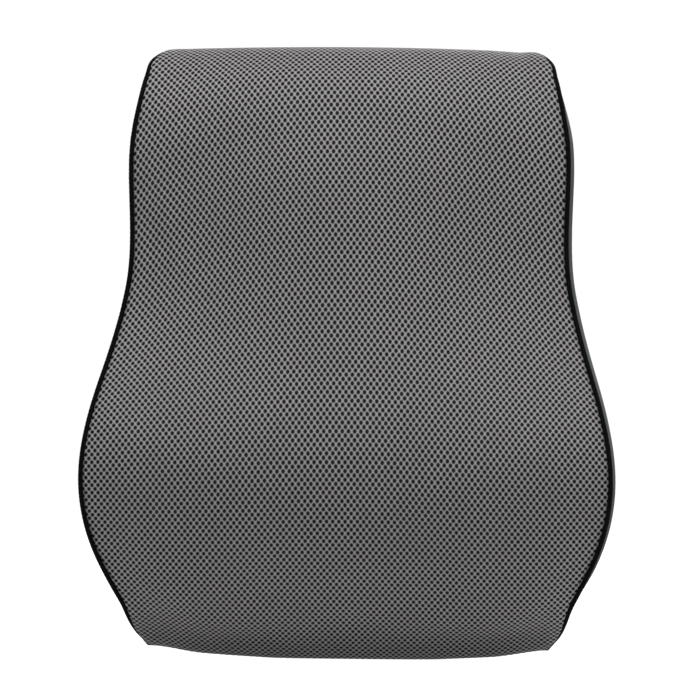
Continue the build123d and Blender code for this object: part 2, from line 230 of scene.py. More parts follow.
def cloth_panel(name, grid, uv, outward, hem=HEM, hem_outward=None):
    """A panel from a grid of points, faces outward, with its edges turned in by a hem."""
    normal = grid_normals(grid, outward)
    inner = np.pad(grid, ((1, 1), (1, 1), (0, 0)), mode="edge")
    lean = np.pad(normal, ((1, 1), (1, 1), (0, 0)), mode="edge")
    coords = np.pad(uv, ((1, 1), (1, 1), (0, 0)), mode="edge")
    border = np.ones(inner.shape[:2], bool)
    border[1:-1, 1:-1] = False
    if hem_outward is not None:
        lean[:] = hem_outward
    inner[border] -= lean[border] * hem
    flip = (turning(grid) * normal).sum() > 0
    obj = new_object(name, inner, grid_faces(*inner.shape[:2], flip=flip))
    set_uv(obj, coords)
    return obj


def tube(name, path, radius, sides=14, ridge=0.0, ridge_step=1.0 * MM):
    """A round fabric tube along a path, with a light spiral ridge and closed ends."""
    path = np.asarray(path)
    tangent = unit(np.gradient(path, axis=0))
    across = np.zeros_like(path)
    seed = np.array([0.0, 1.0, 0.0])
    for i, t in enumerate(tangent):
        seed = unit(seed - t * (seed @ t))
        across[i] = seed
    other = np.cross(tangent, across)
    run = travelled(path)
    angle = np.linspace(0, 2 * math.pi, sides, endpoint=False)
    swell = radius * (1 + ridge * np.cos(angle[None] + run[:, None] * 2 * math.pi / ridge_step))
    cosine, sine = np.cos(angle)[None, :, None], np.sin(angle)[None, :, None]
    around = cosine * across[:, None] + sine * other[:, None]
    verts = path[:, None] + around * swell[..., None]
    uv = np.stack(np.broadcast_arrays(angle[None] * radius, run[:, None]), axis=-1)
    count = len(path)
    faces = grid_faces(count, sides, wrap=True).tolist()
    faces += [list(range(sides))[::-1], list(range((count - 1) * sides, count * sides))]
    obj = new_object(name, verts, faces)
    set_uv(obj, uv)
    return obj


# ---------------------------------------------------------------- shape of the cover, read from the CAD

cover = bvh("front_panel", "left_gusset", "right_gusset", "back_panel_upper", "back_panel_lower")
gusset_tree = bvh("right_gusset")
gusset_low, gusset_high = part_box("right_gusset")


def read_side_line():
    """Heights, and the side seam's distance from the middle at each."""
    heights = np.linspace(gusset_low.z + 0.5 * MM, gusset_high.z - 0.5 * MM, SIDE_HEIGHTS)
    reach = []
    for z in heights:
        best = 0.0
        for y in np.linspace(gusset_high.y - MM, gusset_low.y + MM, SIDE_DEPTHS):
            hit = gusset_tree.ray_cast(Vector((FAR_SIDE, y, z)), Vector((-1, 0, 0)))[0]
            if hit is not None:
                best = max(best, hit.x)
        reach.append(best)
    reach = soften(np.array(reach)[:, None], 2, 0)[:, 0]
    ends = []
    for i, j, z in ((0, 6, heights[0] - SIDE_CARRY), (-1, -7, heights[-1] + SIDE_CARRY)):
        slope = (reach[i] - reach[j]) / (heights[i] - heights[j])
        ends.append((z, reach[i] + slope * (z - heights[i])))
    heights = np.concatenate([[ends[0][0]], heights, [ends[1][0]]])
    return heights, np.concatenate([[ends[0][1]], reach, [ends[1][1]]])


side_z, side_reach = read_side_line()


def side_x(z):
    return np.interp(z, side_z, side_reach)


def read_front():
    """Points over the front and its rolls: rows run from the back's top edge to its bottom edge."""
    low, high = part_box("front_panel")
    middle_y = low.y * AXIS_SHARE
    share = np.linspace(-EDGE_SHARE, EDGE_SHARE, COLUMNS)
    top = math.atan2(high.z - 2 * MM, middle_y + 1.5 * MM)
    bottom = math.atan2(low.z + 2 * MM, middle_y + 1.5 * MM)
    angles = np.linspace(top, bottom, ROWS)
    grid = np.zeros((ROWS, COLUMNS, 3))
    for c, u in enumerate(share):
        z = high.z - 5 * MM
        for r, angle in enumerate(angles):
            ray = Vector((0, -math.cos(angle), math.sin(angle)))
            for _ in range(3):
                start = Vector((u * float(side_x(z)), middle_y, 0)) + ray * FAR_FRONT
                hit = cover.ray_cast(start, -ray)[0]
                z = hit.z
            grid[r, c] = hit
    grid = soften(soften(grid, 2, 0), 1, 1)
    # carry the columns on to the seam itself
    step = (1 - EDGE_SHARE) / (share[1] - share[0])
    left = grid[:, :1] + (grid[:, :1] - grid[:, 1:2]) * step
    right = grid[:, -1:] + (grid[:, -1:] - grid[:, -2:-1]) * step
    left[..., 0] = -side_x(left[..., 2])
    right[..., 0] = side_x(right[..., 2])
    grid = np.concatenate([left, grid, right], axis=1)
    # and the rows back to the plane of the back
    grid[0, :, 1] = 0
    grid[-1, :, 1] = 0
    return even_out(grid)


front_rough = read_front()

# The real corners are a little squarer than the CAD's: extra half width above and below these heights
CORNER_FILLS = ((3.0 * MM, 0.193, 0.014), (6.5 * MM, -0.172, -0.036))
FILL_DEPTH = 25 * MM  # distance in front of the back at which the upper fill is full
CORNER_LIFT = 3.6 * MM  # the bottom edge rises this much towards its corners
LIFT_FROM_X, LIFT_SPAN_X = 0.100, 0.045
LIFT_FROM_Z, LIFT_SPAN_Z = -0.180, 0.022
BOTTOM_SAG = 3.3 * MM  # how much lower the filled cover hangs at its bottom edge
BOTTOM_LEAN = 0.003  # how much lower that edge hangs per metre of x
SAG_FROM_Z, SAG_SPAN_Z = -0.150, 0.05
CORNER_TUCK = 3.0 * MM  # how far the side panels' corners are drawn in towards the middle
TUCK_DEPTH = 9 * MM  # how close to the back that happens; the seam stays shut in front of it
TUCK_FROM_Z, TUCK_SPAN_Z = 0.180, 0.02


def cover_x(z, y=0.0):
    """Half width of the cover at a height and a depth."""
    top, bottom = (size * smooth_step((z - start) / span) for size, start, span in CORNER_FILLS)
    return side_x(z) + top * smooth_step(-y / FILL_DEPTH) + bottom


def shape_front(grid):
    """The front as the filled cover holds it: squarer corners, and a sagging bottom edge."""
    x, y, z = (grid[..., i].copy() for i in range(3))
    x *= cover_x(z, y) / side_x(z)
    lift_x = smooth_step((np.abs(x) - LIFT_FROM_X) / LIFT_SPAN_X)
    z += CORNER_LIFT * lift_x * smooth_step((LIFT_FROM_Z - z) / LIFT_SPAN_Z)
    z -= (BOTTOM_SAG + BOTTOM_LEAN * x) * smooth_step((SAG_FROM_Z - z) / SAG_SPAN_Z)
    return np.stack([x, y, z], axis=-1)


front_rough = shape_front(front_rough)

# ---------------------------------------------------------------- finished grids

front_width = lengths(front_rough, 1)[ROWS // 2, -1]
front_height = lengths(front_rough, 0)[-1, COLUMNS // 2]
fine_columns = int(front_width / FINE_STEP)
fine_rows = int(front_height / FINE_STEP)
front = respace(respace(front_rough, fine_columns, 1), fine_rows, 0)


def near_ends(edge, column):
    """1 at the two ends of a side seam, 0 away from them, as a column of numbers."""
    run = lengths(edge, 0)[:, column]
    return (1 - smooth_step(np.minimum(run, run[-1] - run) / END_SPAN))[:, None]


def gusset_grid(sign, rows=420, columns=70):
    """The side panel, from the front seam to the back edge."""
    edge = respace(front_rough, rows, 0)
    column = 0 if sign < 0 else -1
    tuck = GUSSET_TUCK + END_SINK * near_ends(edge, column)
    seam = edge[:, column] - grid_normals(edge, (0, -1, 0))[:, column] * tuck
    back_z = np.linspace(seam[0, 2], seam[-1, 2], rows)
    t = np.linspace(0, 1, columns)[None]
    y = seam[:, 1:2] * (1 - t)
    z = seam[:, 2:3] * (1 - t) + back_z[:, None] * t
    x = cover_x(z, y)
    to_end = np.minimum(np.arange(rows), np.arange(rows)[::-1])[:, None]
    ends = smooth_step(to_end / (rows * BULGE_SPAN) - BULGE_BARE)
    x = x + GUSSET_BULGE[sign] * np.sin(math.pi * t) ** 0.75 * ends
    corner = smooth_step((np.abs(z) - TUCK_FROM_Z) / TUCK_SPAN_Z) * smooth_step(1 + y / TUCK_DEPTH)
    z = z - CORNER_TUCK * np.sign(z) * corner
    return np.stack([sign * x, y, z], axis=-1)


def back_grid(z_from, z_to, rows, columns=240):
    """A back panel between two heights, each a number or one height per column."""
    t = np.linspace(0, 1, rows)[:, None]
    z = z_from * (1 - t) + z_to * t
    u = np.linspace(-1, 1, columns)[None]
    return np.stack([u * cover_x(z), np.zeros_like(z * u), z + 0 * u], axis=-1)


def rows_to_edges(grid):
    """Distances from the two side edges, and from the first and last rows."""
    along, down = lengths(grid, 1), lengths(grid, 0)
    return np.minimum(along, along[:, -1:] - along), down, down[-1:] - down


def fabric_coords(grid):
    """Distances along the cloth from its middle column and middle row."""
    along, down = lengths(grid, 1), lengths(grid, 0)
    along = along - along[:, along.shape[1] // 2][:, None]
    down = down - down[down.shape[0] // 2][None]
    return np.stack([along, down], axis=-1)


# ---------------------------------------------------------------- padding, by a pressure simulation

BAG_ACROSS, BAG_DOWN, BAG_DEEP = 60, 90, 16  # points of the bag along X, down the front and along Y
BAG_VOXEL = 6 * MM
BAG_FRAMES = 20
BAG_PRESSURE = 4
BAG_STRETCH, BAG_BEND = 30, 2  # stiffness against stretching and bending
PAD_REACH = 12 * MM  # how far off the grid the bag is looked for
PAD_CAP = 2.0 * MM  # most that the padding may add
PAD_FADE = 12 * MM  # it grows from nothing over this distance from the side seams


def padding_tree():
    """A ray-casting tree over the whole cover, blown up lightly as one bag."""
    parts = [(respace(respace(front_rough, BAG_ACROSS, 1), BAG_DOWN, 0), (0, -1, 0))]
    for sign in (-1, 1):
        side = respace(respace(gusset_grid(sign), BAG_DOWN, 0), BAG_DEEP, 1)
        parts.append((side, (sign, 0, 0)))
    top = front_rough[0, :, 2]
    low = front_rough[-1, :, 2]
    along, share = np.linspace(0, 1, BAG_ACROSS), np.linspace(0, 1, len(top))
    high_z, low_z = np.interp(along, share, top), np.interp(along, share, low)
    parts.append((back_grid(low_z, high_z, BAG_ACROSS, BAG_ACROSS), (0, 1, 0)))
    verts, faces, base = [], [], 0
    for grid, outward in parts:
        flip = (turning(grid) * grid_normals(grid, outward)).sum() > 0
        faces.append(grid_faces(*grid.shape[:2], flip=flip) + base)
        verts.append(grid.reshape(-1, 3))
        base += grid.shape[0] * grid.shape[1]
    bag = new_object("padding_bag", np.concatenate(verts), np.concatenate(faces))
    bpy.context.view_layer.objects.active = bag
    remesh = bag.modifiers.new("even", "REMESH")
    remesh.mode = "VOXEL"
    remesh.voxel_size = BAG_VOXEL
    bpy.ops.object.modifier_apply(modifier=remesh.name)
    cloth = bag.modifiers.new("pressure", "CLOTH")
    cloth.settings.use_pressure = True
    cloth.settings.uniform_pressure_force = BAG_PRESSURE
    cloth.settings.quality = 6
    cloth.settings.tension_stiffness = BAG_STRETCH
    cloth.settings.compression_stiffness = BAG_STRETCH
    cloth.settings.bending_stiffness = BAG_BEND
    cloth.settings.effector_weights.gravity = 0
    cloth.point_cache.frame_start, cloth.point_cache.frame_end = 1, BAG_FRAMES
    for f in range(1, BAG_FRAMES + 1):
        bpy.context.scene.frame_set(f)
    bpy.ops.object.modifier_apply(modifier=cloth.name)
    bpy.context.scene.frame_set(1)
    mesh = bag.data
    corners = [v.co.copy() for v in mesh.vertices]
    tree = BVHTree.FromPolygons(corners, [list(p.vertices) for p in mesh.polygons])
    bpy.data.objects.remove(bag)
    return tree


bag_tree = padding_tree()


def padding(grid, outward, every=6):
    """How far the blown-up bag stands off a grid, capped, at every point."""
    if bag_tree is None:
        return np.zeros(grid.shape[:2])
    coarse_shape = [max(n // every, 4) for n in grid.shape[:2]]
    coarse = respace(respace(grid, coarse_shape[0], 0), coarse_shape[1], 1)
    normal = grid_normals(coarse, outward)
    found = np.zeros(coarse.shape[:2])
    for r in range(coarse.shape[0]):
        for c in range(coarse.shape[1]):
            n = Vector(normal[r, c])
            hit = bag_tree.ray_cast(Vector(coarse[r, c]) + n * PAD_REACH, -n, 2 * PAD_REACH)
            if hit[0] is not None:
                found[r, c] = PAD_REACH - hit[3]
    found -= np.median(found)
    found = np.clip(found, -PAD_CAP, PAD_CAP)
    found = soften(soften(found[..., None], 3, 0), 3, 1)
    return respace(respace(found, grid.shape[0], 0), grid.shape[1], 1)[..., 0]


# ---------------------------------------------------------------- materials


HOLE_ASPECT = 1.12  # how much flatter than its pitch a hole is


class Nodes:
    """Short names for building a material's node tree."""

    def __init__(self, name):
        self.material = bpy.data.materials.new(name)
        self.material.use_nodes = True
        self.tree = self.material.node_tree
        self.shader = self.tree.nodes["Principled BSDF"]

    def node(self, kind, **inputs):
        n = self.tree.nodes.new(kind)
        for key, value in inputs.items():
            self.put(n.inputs[key.replace("_", " ")], value)
        return n

    def put(self, socket, value):
        if isinstance(value, bpy.types.NodeSocket):
            self.tree.links.new(value, socket)
        else:
            socket.default_value = value

    def math(self, operation, *values):
        n = self.tree.nodes.new("ShaderNodeMath")
        n.operation = operation
        for i, v in enumerate(values):
            self.put(n.inputs[i], v)
        return n.outputs[0]

    def mix(self, share, a, b):
        n = self.tree.nodes.new("ShaderNodeMix")
        n.data_type = "RGBA"
        self.put(n.inputs[0], share)
        self.put(n.inputs[6], a)
        self.put(n.inputs[7], b)
        return n.outputs[2]

    def noise(self, vector, scale, detail=3.0):
        n = self.node("ShaderNodeTexNoise", Vector=vector, Scale=scale, Detail=detail)
        return n.outputs["Fac"]

    def ramp(self, value, low, high):
        """0 below low, 1 above high, smooth in between."""
        n = self.tree.nodes.new("ShaderNodeMapRange")
        n.interpolation_type = "SMOOTHSTEP"
        for i, v in enumerate((value, low, high)):
            self.put(n.inputs[i], v)
        return n.outputs[0]

    def place(self):
        return self.node("ShaderNodeTexCoord").outputs["Object"]

    def cloth(self):
        """Fabric coordinates as two sockets, in metres."""
        uv = self.tree.nodes.new("ShaderNodeUVMap")
        uv.uv_map = "weave"
        split = self.node("ShaderNodeSeparateXYZ", Vector=uv.outputs[0])
        return split.outputs[0], split.outputs[1]

    def finish(self, colour, rough, height=None, lift=0.3 * MM, sheen=0.0, metal=0.0, gloss=0.2):
        s = self.shader
        self.put(s.inputs["Base Color"], colour)
        self.put(s.inputs["Roughness"], rough)
        s.inputs["Metallic"].default_value = metal
        s.inputs["Sheen Weight"].default_value = sheen
        s.inputs["Sheen Roughness"].default_value = 0.5
        s.inputs["Specular IOR Level"].default_value = gloss
        if height is not None:
            bump = self.node("ShaderNodeBump", Height=height, Distance=lift, Strength=0.8)
            self.tree.links.new(bump.outputs[0], s.inputs["Normal"])
        return self.material


def grey(level, tint=(1, 1, 1)):
    return (level * tint[0], level * tint[1], level * tint[2], 1)


def lattice(n, u, v, pitch):
    """Distance, in pitches, from the nearest hole centre of a staggered lattice."""

    def rings(shift):
        squares = []
        for place, size, aspect in ((u, pitch[0], 1.0), (v, pitch[1], HOLE_ASPECT)):
            cell = n.math("FRACT", n.math("ADD", n.math("DIVIDE", place, size), shift))
            off = n.math("MULTIPLY", n.math("SUBTRACT", cell, 0.5), aspect)
            squares.append(n.math("MULTIPLY", off, off))
        return n.math("SQRT", n.math("ADD", *squares))

    return n.math("MINIMUM", rings(0.0), rings(0.5))


HOLE_EDGE = 0.1  # how soft a hole's edge is, in pitches
CROWN = 0.46  # distance from a hole's centre, in pitches, at which the yarn is highest and its painted highlight full


def air_mesh(name, pitch, yarn_and_highlight, hole_shade, ground, hole_size=0.215, sheen=0.06):
    """Knitted spacer mesh: holes in a staggered net of yarn, with painted shade in the holes and a
    painted highlight on the yarn's crowns.
    """
    n = Nodes(name)
    u, v = n.cloth()
    place = n.place()
    wobble = n.noise(place, 900.0, 2.0)
    uneven = n.math("MULTIPLY", n.math("SUBTRACT", wobble, 0.5), 0.07)
    distance = n.math("ADD", lattice(n, u, v, pitch), uneven)
    net = n.ramp(distance, hole_size, hole_size + HOLE_EDGE)
    # the crown mask raises the yarn's bump and also paints a highlight: the colour goes from the
    # ground's at a hole's edge to the lighter yarn colour at the crest
    crown_and_highlight = n.ramp(distance, hole_size + 0.5 * HOLE_EDGE, CROWN)
    fibre = n.noise(place, 3500.0, 4.0)
    cloudy = n.noise(place, 14.0, 3.0)
    strand = n.mix(crown_and_highlight, ground, yarn_and_highlight)
    fuzz = n.math("MULTIPLY", n.math("SUBTRACT", fibre, 0.35), 0.9)
    strand = n.mix(fuzz, strand, n.mix(0.5, hole_shade, ground))
    # painted shade: the holes take a near-black colour for the shade in their depth
    colour = n.mix(net, hole_shade, strand)
    shade = n.math("ADD", 0.93, n.math("MULTIPLY", cloudy, 0.14))
    tone = n.node("ShaderNodeHueSaturation", Color=colour, Value=shade)
    height = n.math("ADD", n.math("MULTIPLY", crown_and_highlight, 0.8), n.math("MULTIPLY", fibre, 0.35))
    rough = n.math("ADD", 0.62, n.math("MULTIPLY", fibre, 0.25))
    return n.finish(tone.outputs[0], rough, height, 0.35 * MM, sheen)


def ribbed(name, pitch, base, high, sheen=0.2, cross=0.7 * MM, gloss=0.2):
    """Closely woven tape: ribs one way, fine picks the other."""
    n = Nodes(name)
    u, v = n.cloth()
    place = n.place()
    rib = n.math("ABSOLUTE", n.math("SINE", n.math("MULTIPLY", u, math.pi / pitch)))
    pick = n.math("ABSOLUTE", n.math("SINE", n.math("MULTIPLY", v, math.pi / cross)))
    fibre = n.noise(place, 4000.0, 3.0)
    weave = n.math("MULTIPLY", rib, n.math("ADD", 0.5, n.math("MULTIPLY", pick, 0.5)))
    share = n.math("MULTIPLY", weave, n.math("ADD", 0.4, fibre))
    wear = n.noise(place, 60.0, 4.0)
    colour = n.mix(share, base, high)
    shade = n.math("ADD", 0.85, n.math("MULTIPLY", wear, 0.3))
    tone = n.node("ShaderNodeHueSaturation", Color=colour, Value=shade)
    rough = n.math("ADD", 0.6, n.math("MULTIPLY", fibre, 0.3))
    return n.finish(tone.outputs[0], rough, weave, 0.2 * MM, sheen, gloss=gloss)


def moulded(name, base, rough_from=0.38, metal=0.0):
    """Fine-textured plastic or enamelled metal, lighter in patches along its sharp edges."""
    n = Nodes(name)
    place = n.place()
    grain = n.noise(place, 2500.0, 3.0)
    patch = n.noise(place, 90.0, 4.0)
    edge = n.node("ShaderNodeNewGeometry").outputs["Pointiness"]
    # lighter in patches where the edges are sharp
    edge_patches = n.math("MULTIPLY", n.ramp(edge, 0.52, 0.62), n.ramp(patch, 0.4, 0.7))
    edge_tone = tuple(min(1, c * 4 + 0.02) for c in base[:3]) + (1,)
    colour = n.mix(n.math("MULTIPLY", edge_patches, 0.5), base, edge_tone)
    mottle = n.math("ADD", n.math("MULTIPLY", grain, 0.12), n.math("MULTIPLY", patch, 0.12))
    rough = n.math("ADD", rough_from, mottle)
    return n.finish(colour, rough, grain, 0.04 * MM, 0.0, metal, 0.5)


def foam_skin(name):
    n = Nodes(name)
    place = n.place()
    cells = n.noise(place, 1200.0, 5.0)
    cloud = n.noise(place, 20.0, 3.0)
    colour = n.mix(cloud, (0.80, 0.76, 0.62, 1), (0.88, 0.85, 0.74, 1))
    # painted shade: the foam's pores, where the bump sinks, take a darker brown
    colour = n.mix(n.ramp(cells, 0.35, 0.5), (0.45, 0.40, 0.28, 1), colour)
    return n.finish(colour, 0.9, cells, 0.5 * MM, 0.1)


WARM, COOL, SLATE = (1.01, 0.97, 0.995), (0.85, 1, 1.25), (0.92, 1, 1.1)  # tints
# each mesh's hole colour is painted shade, and its yarn colour carries a painted highlight on the crowns
MESH_GREY = air_mesh(
    "spacer_mesh",
    MESH_PITCH,
    yarn_and_highlight=grey(0.46, (1.01, 0.98, 0.995)),
    hole_shade=grey(0.002, (1.3, 0.95, 1.0)),
    ground=grey(0.20, WARM),
)
SIDE_MESH = air_mesh("side_mesh", SIDE_PITCH, grey(0.105, COOL), grey(0.004), grey(0.035, COOL))
BACK_KNIT = air_mesh("back_knit", BACK_PITCH, grey(0.10, SLATE), grey(0.008), grey(0.05, SLATE), 0.12)
PIPING = ribbed(
    "piping_fabric",
    0.9 * MM,
    grey(0.0015),
    grey(0.005, (0.9, 1, 1.2)),
    sheen=0.0,
    cross=0.9 * MM,
    gloss=0.06,
)
WEBBING = ribbed("elastic_webbing", 1.3 * MM, grey(0.006), grey(0.035, (0.95, 1, 1.05)), 0.15)
TAPE = ribbed("zip_fabric", 0.8 * MM, grey(0.006), grey(0.03), 0.1)
THREAD = ribbed("thread", 0.5 * MM, grey(0.01), grey(0.05), 0.2, 0.4 * MM)
LINER = ribbed("liner_knit", 1.0 * MM, grey(0.5), grey(0.78, (1, 1, 0.97)), 0.2)
LABEL = ribbed("label_fabric", 0.5 * MM, grey(0.55), grey(0.75, (1, 1, 0.97)), 0.1, 0.4 * MM)
FOAM = foam_skin("foam")
PLASTIC = moulded("buckle_plastic", grey(0.014, (1, 1, 1.05)))
RESIN = moulded("zip_plastic", grey(0.012), 0.25)
ENAMEL = moulded("slider_metal", grey(0.012), 0.22, 0.3)


def dress(obj, material, body="cushion", stands_for=()):
    obj.data.materials.clear()
    obj.data.materials.append(material)
    if body:
        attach(obj, body)
    if stands_for:
        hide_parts(*stands_for)
    return obj


# ---------------------------------------------------------------- front panel


def staggered(u, v, pitch):
    """Distance from the nearest hole centre, in pitches."""
    best = None
    for shift in (0.0, 0.5):
        a = (u / pitch[0] + shift) % 1 - 0.5
        b = ((v / pitch[1] + shift) % 1 - 0.5) * HOLE_ASPECT
        d = np.sqrt(a * a + b * b)
        best = d if best is None else np.minimum(best, d)
    return best


def build_front():
    normal = grid_normals(front, (0, -1, 0))
    side, top, bottom = rows_to_edges(front)
    near_end = 1 - smooth_step(np.minimum(top, bottom) / END_SPAN)
    drop = rounding(side, SIDE_ROLL) * (1 - END_SHALLOW * near_end)
    drop = drop + rounding(np.minimum(top, bottom), END_ROLL)
    uv = fabric_coords(front)
    arch = ROW_ARCH * smooth_step((front[..., 2] - ARCH_NONE_Z) / (ARCH_FULL_Z - ARCH_NONE_Z))
    uv[..., 1] -= arch * front[..., 0] ** 2
    holes = np.clip(1 - staggered(uv[..., 0], uv[..., 1], MESH_PITCH) / DIMPLE_REACH, 0, 1)
    lift = padding(front, (0, -1, 0)) * np.clip(side / PAD_FADE, 0, 1)
    grid = front + normal * (lift - drop - MESH_DIMPLE * smooth_step(holes))[..., None]
    panel = cloth_panel("front_panel_cover", grid, uv, (0, -1, 0))
    return dress(panel, MESH_GREY, stands_for=["front_panel"])


build_front()

# ---------------------------------------------------------------- side panels and piping

PIPE_ROWS, PIPE_SIDES, PIPE_RIDGE = 700, 16, 0.03
STEEPEST = 1.2  # slope of the side seam beyond which the piping no longer leans with it


def build_side(name, sign):
    grid = gusset_grid(sign)
    uv = fabric_coords(grid)
    holes = np.clip(1 - staggered(uv[..., 0], uv[..., 1], SIDE_PITCH) / SIDE_DIMPLE_REACH, 0, 1)
    grid = grid - grid_normals(grid, (sign, 0, 0)) * (SIDE_DIMPLE * holes)[..., None]
    panel = cloth_panel(f"{name}_side_cover", grid, uv, (sign, 0, 0), hem_outward=(sign, 0, 0))
    dress(panel, SIDE_MESH, stands_for=[f"{name}_gusset"])

    edge = respace(front_rough, PIPE_ROWS, 0)
    normal = grid_normals(edge, (0, -1, 0))
    column = 0 if sign < 0 else -1
    seam, out = edge[:, column], normal[:, column]
    rise = np.gradient(seam[:, 2])
    slope = np.gradient(np.abs(seam[:, 0])) / np.where(np.abs(rise) < 1e-7, 1e-7, rise)
    slope = np.clip(slope, -STEEPEST, STEEPEST)
    level = np.full(PIPE_ROWS, float(sign))
    side_out = unit(np.stack([level, np.zeros(PIPE_ROWS), -slope], axis=-1))
    near_end = near_ends(edge, column)
    stand_out = PIPE_OUT + (PIPE_END_OUT - PIPE_OUT) * near_end
    path = seam + side_out * stand_out - out * (PIPE_IN + END_SINK * near_end)
    path = soften(path, 12, 0)[PIPE_TRIM:-PIPE_TRIM]
    piping = tube(f"{name}_piping", path, PIPE_R, PIPE_SIDES, PIPE_RIDGE)
    hidden = [f"{name}_piping_sleeve", f"{name}_piping_cord"]
    dress(piping, PIPING, stands_for=hidden)


build_side("left", -1)
build_side("right", 1)

# ---------------------------------------------------------------- back panels

edge_u = np.linspace(-1, 1, 240)
front_u = np.linspace(-1, 1, front_rough.shape[1])
top_z = np.interp(edge_u, front_u, front_rough[0, :, 2])
bottom_z = np.interp(edge_u, front_u, front_rough[-1, :, 2])
PUCKER_HEIGHT, PUCKER_REACH = 0.15 * MM, 9 * MM  # ripples of the cloth beside the zip


def build_back(name, z_from, z_to, slot_first):
    grid = back_grid(z_from, z_to, 240)
    side, first, last = rows_to_edges(grid)
    slot, outer = (first, last) if slot_first else (last, first)
    drop = rounding(np.minimum(side, outer), END_ROLL) + rounding(slot, SLOT_ROLL)
    uv = fabric_coords(grid)
    pucker = np.sin(grid[..., 0] * 210 + 3 * np.sin(grid[..., 2] * 60))
    ripple = PUCKER_HEIGHT * pucker * np.exp(-slot / PUCKER_REACH)
    grid = grid + np.array([0, 1.0, 0]) * (ripple - drop)[..., None]
    panel = cloth_panel(name + "_cover", grid, uv, (0, 1, 0))
    dress(panel, BACK_KNIT, stands_for=[name])


upper_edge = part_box("back_panel_upper")[0].z
lower_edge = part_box("back_panel_lower")[1].z
build_back("back_panel_upper", upper_edge, top_z[None], True)
build_back("back_panel_lower", bottom_z[None], lower_edge, False)

# ---------------------------------------------------------------- zip, label and stitches


def stitches(name, points, outward, run=2.6 * MM, gap=0.9 * MM, radius=0.22 * MM, sink=0.3):
    """Thread stitches along a line of points, each a small arch with both ends in the cloth."""
    points = np.asarray(points, float)
    length = travelled(points)
    count = max(int((length[-1] + gap) / (run + gap)), 1)
    outward = unit(np.asarray(outward, float))
    verts, faces = [], []
    sides, rings = 6, 6
    for i in range(count):
        begin = i * (run + gap)
        at = np.linspace(begin, begin + run, rings)
        line = np.stack([np.interp(at, length, points[:, k]) for k in range(3)], axis=-1)
        arch = np.sin(np.linspace(0, math.pi, rings)) ** 0.6
        line = line + outward * (radius * (arch * (1 + sink) - sink))[:, None]
        along = unit(line[-1] - line[0])
        across = unit(np.cross(along, outward))
        angle = np.linspace(0, 2 * math.pi, sides, endpoint=False)
        thick = radius * (0.55 + 0.45 * arch)
        ring = np.cos(angle)[None, :, None] * across + np.sin(angle)[None, :, None] * outward
        base = len(verts) * rings * sides
        verts.append((line[:, None] + ring * thick[:, None, None]).reshape(-1, 3))
        faces += (grid_faces(rings, sides, wrap=True) + base).tolist()
        last = base + (rings - 1) * sides
        faces += [list(range(base, base + sides))[::-1], list(range(last, last + sides))]
    everywhere = np.concatenate(verts)
    obj = new_object(name, everywhere, faces)
    set_uv(obj, everywhere[:, [0, 2]])
    return dress(obj, THREAD)


def flat_sheet(name, low, high, y, bend, step=0.6 * MM):
    """A thin sheet facing the back, over a box's width and height; bend(x, z) adds to y."""
    columns = int((high.x - low.x) / step) + 2
    rows = int((high.z - low.z) / step) + 2
    x, z = np.meshgrid(np.linspace(low.x, high.x, columns), np.linspace(low.z, high.z, rows))
    grid = np.stack([x, y + bend(x, z), z], axis=-1)
    return cloth_panel(name, grid, np.stack([x, z], axis=-1), (0, 1, 0), hem=SHEET_HEM)


STITCH_INSET = 3.2 * MM
LABEL_CURL, LABEL_CUP = 0.7 * MM, 0.45 * MM  # the label's free edge lifts, and its corners a little more
SHEET_HEM = 0.4 * MM


def tape_wave(x, z):
    """How far the zip's tapes and tabs wave in and out."""
    return 0.08 * MM * np.sin(x * 180 + z * 90)


def build_zip_and_label():
    for half in ("upper", "lower"):
        low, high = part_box(f"zip_tape_{half}")
        tape = flat_sheet(f"zip_tape_{half}_cover", low, high, high.y - 0.1 * MM, tape_wave, 0.8 * MM)
        dress(tape, TAPE, stands_for=[f"zip_tape_{half}"])
    for side in ("left", "right"):
        low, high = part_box(f"zip_end_tab_{side}")
        sign, inner = (-1, -high.x) if side == "left" else (1, low.x)
        t, z = np.meshgrid(np.linspace(0, 1, 30), np.linspace(low.z, high.z, 28))
        x = inner + (cover_x(z) - inner) * t
        y = high.y + tape_wave(x, z) - rounding(cover_x(z) - x, END_ROLL)
        grid = np.stack([sign * x, y, z], axis=-1)
        tab = cloth_panel(f"zip_end_tab_{side}_cover", grid, grid[..., ::2], (0, 1, 0), hem=SHEET_HEM)
        dress(tab, BACK_KNIT, stands_for=[f"zip_end_tab_{side}"])
    low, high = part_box("care_label")
    width, height = high.x - low.x, high.z - low.z

    def curl(x, z):
        free = (high.z - z) / height
        side = 2 * (x - low.x) / width - 1
        return LABEL_CURL * free ** 2 + LABEL_CUP * free * side ** 2

    label = flat_sheet("care_label_sheet", low, high, high.y, curl, 0.5 * MM)
    dress(label, LABEL, stands_for=["care_label"])
    seam = [(x, high.y + 0.1 * MM, high.z - 1.6 * MM) for x in np.linspace(low.x + MM, high.x - MM, 20)]
    stitches("care_label_stitches", seam, (0, 1, 0), 2.0 * MM, 0.8 * MM)
    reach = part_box("zip_tape_upper")[1].x - 2 * MM
    for name, z in (("upper", upper_edge + STITCH_INSET), ("lower", lower_edge - STITCH_INSET)):
        line = [(x, 0.02 * MM, z) for x in np.linspace(-reach, reach, 200)]
        stitches(f"zip_stitches_{name}", line, (0, 1, 0))


build_zip_and_label()

# ---------------------------------------------------------------- strap

